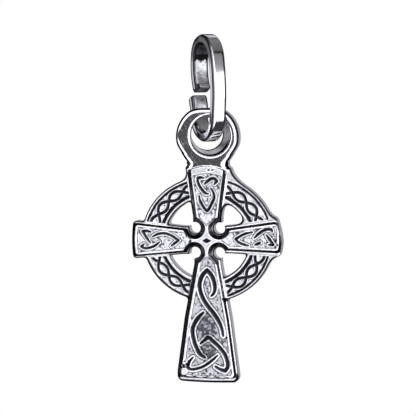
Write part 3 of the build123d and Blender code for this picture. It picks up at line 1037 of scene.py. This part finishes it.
def arcFrom(start, heading, stop, step):
    # points of the arc that leaves the start along the heading and ends at the stop
    chord = stop - start
    side = Vector((-heading.y, heading.x))
    radius = chord.length_squared / (2 * chord.dot(side))
    centre = start + side * radius
    first = atan2(*(start - centre).yx)
    last = atan2(*(stop - centre).yx)
    sweep = (last - first) % (2 * pi) - (0 if radius > 0 else 2 * pi)
    count = max(int(abs(sweep * radius) / step), 2)
    angles = [first + sweep * k / count for k in range(1, count + 1)]
    points = [centre + Vector((cos(angle), sin(angle))) * abs(radius) for angle in angles]
    return points, Vector((-sin(last), cos(last))) * (1 if radius > 0 else -1)


def bailRoute(b):
    turn = radians(b["turn"])
    halfBar = casting["plate"] / 2 / cos(turn) + b["width"] / 2 * tan(turn)
    innerTurn = (halfBar + b["clearance"]) / cos(radians(b["wedge"]))
    turnUp = b["plan"] * 2 - b["height"] + innerTurn
    radius = innerTurn + b["thickness"] / 2
    stubEnd = Vector((-radius - b["stubFlare"], turnUp + b["stubRise"]))
    stub, _ = arcFrom(Vector((-radius, turnUp)), Vector((0, 1)), stubEnd, b["step"])
    count = int(pi * radius / b["step"])
    points = stub[::-1]
    for angle in [pi * k / count for k in range(count + 1)]:
        points.append(Vector((-radius * cos(angle), turnUp - radius * sin(angle))))
    here, heading = Vector((radius + b["lean"], turnUp + b["strandRise"])), Vector((0, 1))
    points += [Vector((radius, turnUp)).lerp(here, k / 24) for k in range(1, 25)]
    for stop in (
        (b["shoulderShare"] * radius, b["frontShoulder"]), (0, b["plan"] - b["thickness"] / 2),
        (-b["backShare"] * radius, b["backShoulder"]), (b["endTuck"] - radius, stubEnd.y + b["endGap"]),
    ):
        run, heading = arcFrom(here, heading, Vector(stop), b["step"])
        points += run
        here = Vector(stop)
    return points


def wireTree():
    # flat wire along a route, worn round at its cut ends and hammered broader behind and at its start
    tree, given, result = newTree("GeometryNodeTree", "flatWire", {
        "Geometry": "Geometry", "Width": bail["width"], "Thickness": bail["thickness"], **wireSizes,
        "Side": "Vector", "Back": "Vector", "Material": "Material",
    }, {"Geometry": "Geometry"})
    route = addNode(tree, "GeometryNodeMeshToCurve", {"Mesh": given["Geometry"]})
    inputs = {"Curve": route, "Normal": given["Side"]}
    route = addNode(tree, "GeometryNodeSetCurveNormal", inputs, mode="FREE")
    inputs = {"Width": given["Width"] * mm, "Height": given["Thickness"] * mm}
    section = addNode(tree, "GeometryNodeCurvePrimitiveQuadrilateral", inputs)
    inputs = {"Curve": section, "Radius": given["Rounding"] * mm, "Limit Radius": True, "Count": 6}
    section = addNode(tree, "GeometryNodeFilletCurve", inputs, mode="POLY")
    inputs = {"Curve": section, "Length": bail["step"] * mm}
    section = addNode(tree, "GeometryNodeResampleCurve", inputs, mode="LENGTH")

    along = addNode(tree, "GeometryNodeSplineParameter").at("Length") / mm
    whole = addNode(tree, "GeometryNodeSplineLength").at("Length") / mm
    short = 1.0 - least(least(along, whole - along) / given["End Wear"], 1.0)
    where = addNode(tree, "GeometryNodeInputPosition")
    inputs = {0: where, 1: given["Back"]}
    behind = addNode(tree, "ShaderNodeVectorMath", inputs, operation="DOT_PRODUCT").at("Value") / mm
    size = 1.0 - short * short * 0.08 + rise(behind, 0.6, 1.6, 0.0, given["Broad Behind"])
    size = size + rise(along, 0.7, 1.7, given["Broad Stub"], 0.0)
    inputs = {"Curve": route, "Profile Curve": section, "Scale": size, "Fill Caps": True}
    strip = addNode(tree, "GeometryNodeCurveToMesh", inputs)

    bumps = (noiseOf(where, 900, 1) - 0.5) * given["Unevenness"] * mm
    inputs = {0: addNode(tree, "GeometryNodeInputNormal"), "Scale": bumps}
    swell = addNode(tree, "ShaderNodeVectorMath", inputs, operation="SCALE")
    moveAndPaint(given, result, strip, swell)
    return tree


wireSilver = dict(
    # outline is the painted shade along the wire's edges
    bright=(0.93, 0.93, 0.945), outline=(0.04, 0.04, 0.054), crack=(0.42, 0.42, 0.46),
    # shade is painted shade on the arch's sides and inside it
    shade=(0.03, 0.03, 0.036),
    roughness=0.03, hairRough=0.1, innerRough=0.3, outlineRough=0.3, shadeRough=0.35,
    grain={"Lump Scale": 1700, "Pit Scale": 4500}, hair={"Turn": 0.0, "Scale": 2600},
    bump={"Strength": 0.35, "Distance": 0.00003},
)


def makeWireSilver(values):
    material, tree, grain, hair = startSilver("wireSilver", values)
    inner, corner, shade = masksOf(tree, "inner corner shade")
    # painted shade: dark where the wire's surface turns away from the camera and along the edges of its
    # faces, with more roughness there
    edge = addNode(tree, "ShaderNodeLayerWeight", {"Blend": 0.5}).at("Facing")
    outline = most(rise(edge, 0.66, 0.86), corner * 0.9)
    colour = blend(outline, values["bright"], values["outline"])
    colour = blend(inner * rise(grain.at("Mask"), 0.58, 0.66), colour, values["crack"])
    # painted shade on and inside the arch, and the dark mark and line by the small step
    colour = blend(shade, colour, values["shade"])
    roughness = hair * values["hairRough"] + values["roughness"]
    for mask, name in ((inner, "innerRough"), (outline, "outlineRough"), (shade, "shadeRough")):
        roughness = roughness + mask * values[name]
    height = grain.at("Height") * inner * 0.35 + hair * 0.5
    finishSilver(tree, colour, outline, values["outline"], roughness, height, values["bump"])
    return material


def wearBail(mesh, b, points, outward):
    # the rough inner side of the back strand, and masks for the finish
    spots, normals = np.zeros(len(mesh.vertices) * 3), np.zeros(len(mesh.vertices) * 3)
    mesh.vertices.foreach_get("co", spots)
    mesh.vertex_normals.foreach_get("vector", normals)
    spots, normals = spots.reshape(-1, 3) / mm, normals.reshape(-1, 3)
    outWay, sideWay = np.array(outward), np.array((outward.y, -outward.x, 0))
    out, across, up = spots @ outWay, spots @ sideWay, spots[:, 2]
    sideways = np.abs(normals @ sideWay)
    onSide = softStep(0.7, 0.85, sideways)
    inner = (out < -0.3) * softStep(0.6, 0.85, normals @ outWay)
    step = softStep(b["ledge"], b["ledge"] - 0.08, up + 0.06 * np.sin(across * 5))
    step = step * past(b["ledgeEnd"], up, 0.13, 0.12) * softStep(-0.45, -0.3, -across) * inner
    waves = np.sin(up * 9 + across * 3) * np.sin(across * 8 + up * 2)
    push = b["ledgeDepth"] * step + b["waves"] * inner * waves
    mesh.vertices.foreach_set("co", ((spots + push[:, None] * outWay) * mm).ravel())

    # painted shade: dark along the edges of each face, found from the nearest point of the route
    route = np.array([tuple(p) for p in points])
    away = np.hypot(out[:, None] - route[:, 0], up[:, None] - route[:, 1])
    nearest = away.argmin(1)
    outAt, upAt = route[nearest].T
    half = b["thickness"] / 2
    inX, inY = -outAt, b["middle"] - upAt
    inside = ((out - outAt) * inX + (up - upAt) * inY) / np.hypot(inX, inY) / half
    radial = np.sqrt(np.maximum(1 - sideways**2, 0))
    corner = np.maximum.reduce([
        softStep(0.2, 0.55, np.minimum(sideways, radial)),
        softStep(0.42, 0.62, away.min(1) / half) * onSide,
        softStep(0.78, 0.88, np.abs(across) / (b["width"] / 2)) * softStep(0.7, 0.85, radial),
        # behind, the outer half of the sides, and the cut ends, which are rougher and painted dark as
        # shade
        softStep(-0.1, -0.3, inside) * onSide * (out < -0.6),
        0.8 * ((nearest < 2) | (nearest > len(points) - 3)),
    ])

    # painted shade: on the sides of the arch, darker towards the top, and faintly on the sides behind;
    # inside the arch down to a ragged edge; and a dark mark and a dark line by the small step
    ragged = up + 0.07 * np.sin(across * 9 + 1) + 0.04 * np.sin(across * 23)
    arch = softStep(0.6, 0.8, inside) * past(b["archShadeFoot"], ragged, 0.06, 0.06)
    mark = softStep(0.3, 0.36, across) * softStep(-4.6, -4.5, up) * softStep(-3.6, -3.7, up)
    ledgeLine = softStep(0.07, 0.02, np.abs(up - b["ledge"] - 0.04 * np.sin(across * 7)))
    flank = softStep(0.8, 0.95, sideways)
    shade = np.maximum.reduce([
        arch * (1 - 0.2 * softStep(-1.05, -0.9, up)), inner * mark * 0.95,
        inner * ledgeLine * softStep(0.42, 0.34, across) * 0.75,
        0.72 * flank * softStep(-2.4, -0.8, up), 0.15 * flank * (out < -0.9),
    ])
    for name, values in (("inner", inner), ("corner", corner), ("shade", shade)):
        storeMask(mesh, name, values)


def makeBail(b):
    turn = radians(b["turn"])
    outward = Vector((sin(turn), -cos(turn), 0))
    points = bailRoute(b)
    mesh = bpy.data.meshes.new("bailForm")
    places = [tuple((outward * p.x + Vector((0, 0, p.y))) * mm) for p in points]
    mesh.from_pydata(places, [(k, k + 1) for k in range(len(points) - 1)], [])
    form = putInScene("openBail", mesh)
    applyTree(form, wireTree(), {
        "Width": b["width"], "Thickness": b["thickness"], **wireSizes,
        "Side": (-cos(turn), -sin(turn), 0), "Back": tuple(-outward),
        "Material": makeWireSilver(wireSilver),
    })
    for face in form.data.polygons:
        face.use_smooth = len(face.vertices) < 5
    wearBail(form.data, b, points, outward)
    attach(form, "bail")
    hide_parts("bail")
    print("bail:", len(form.data.polygons), "faces", [round(x / mm, 3) for x in form.dimensions])


makeBail(bail)
